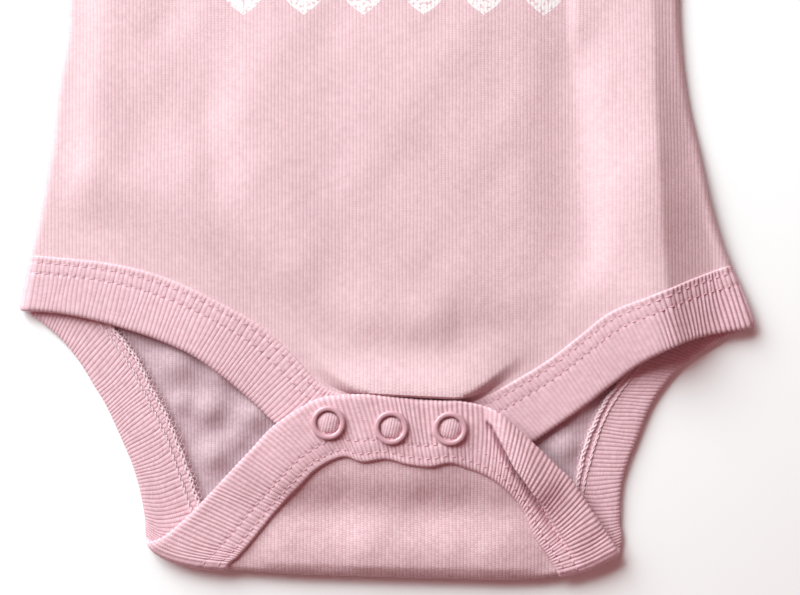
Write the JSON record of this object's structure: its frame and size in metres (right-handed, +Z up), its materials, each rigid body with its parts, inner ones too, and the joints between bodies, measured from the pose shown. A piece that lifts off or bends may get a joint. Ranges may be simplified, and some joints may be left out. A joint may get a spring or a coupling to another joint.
{
  "type": "baby bodysuit",
  "caption": "Short-sleeved baby bodysuit in fine rib knit, laid flat, with lap shoulders, bound neck and leg edges and a crotch flap snapped over the front.",
  "frame": {"origin": "middle of the laid garment, on the surface it lies on", "axes": "+X across the chest to the viewer's right, +Y from the crotch to the neck, +Z up from the surface, out of the garment's front"},
  "size_m": [0.2796, 0.3722, 0.0098],
  "materials": {
    "rib_knit": "matt pale pink cotton rib knit",
    "ribbed_binding": "matt pale pink cotton rib binding",
    "pink_enamel": "glossy pink enamel"
  },
  "bodies": {
    "root": {"back_panel": "rib_knit", "front_panel": "rib_knit", "left_sleeve": "rib_knit", "right_sleeve": "rib_knit", "back_leg_binding": "ribbed_binding", "front_leg_binding": "ribbed_binding", "back_neck_binding": "ribbed_binding", "front_neck_binding": "ribbed_binding", "left_sleeve_binding": "ribbed_binding", "right_sleeve_binding": "ribbed_binding", "snap_ring_1": "pink_enamel", "snap_ring_2": "pink_enamel", "snap_ring_3": "pink_enamel"}
  },
  "joints": []
}
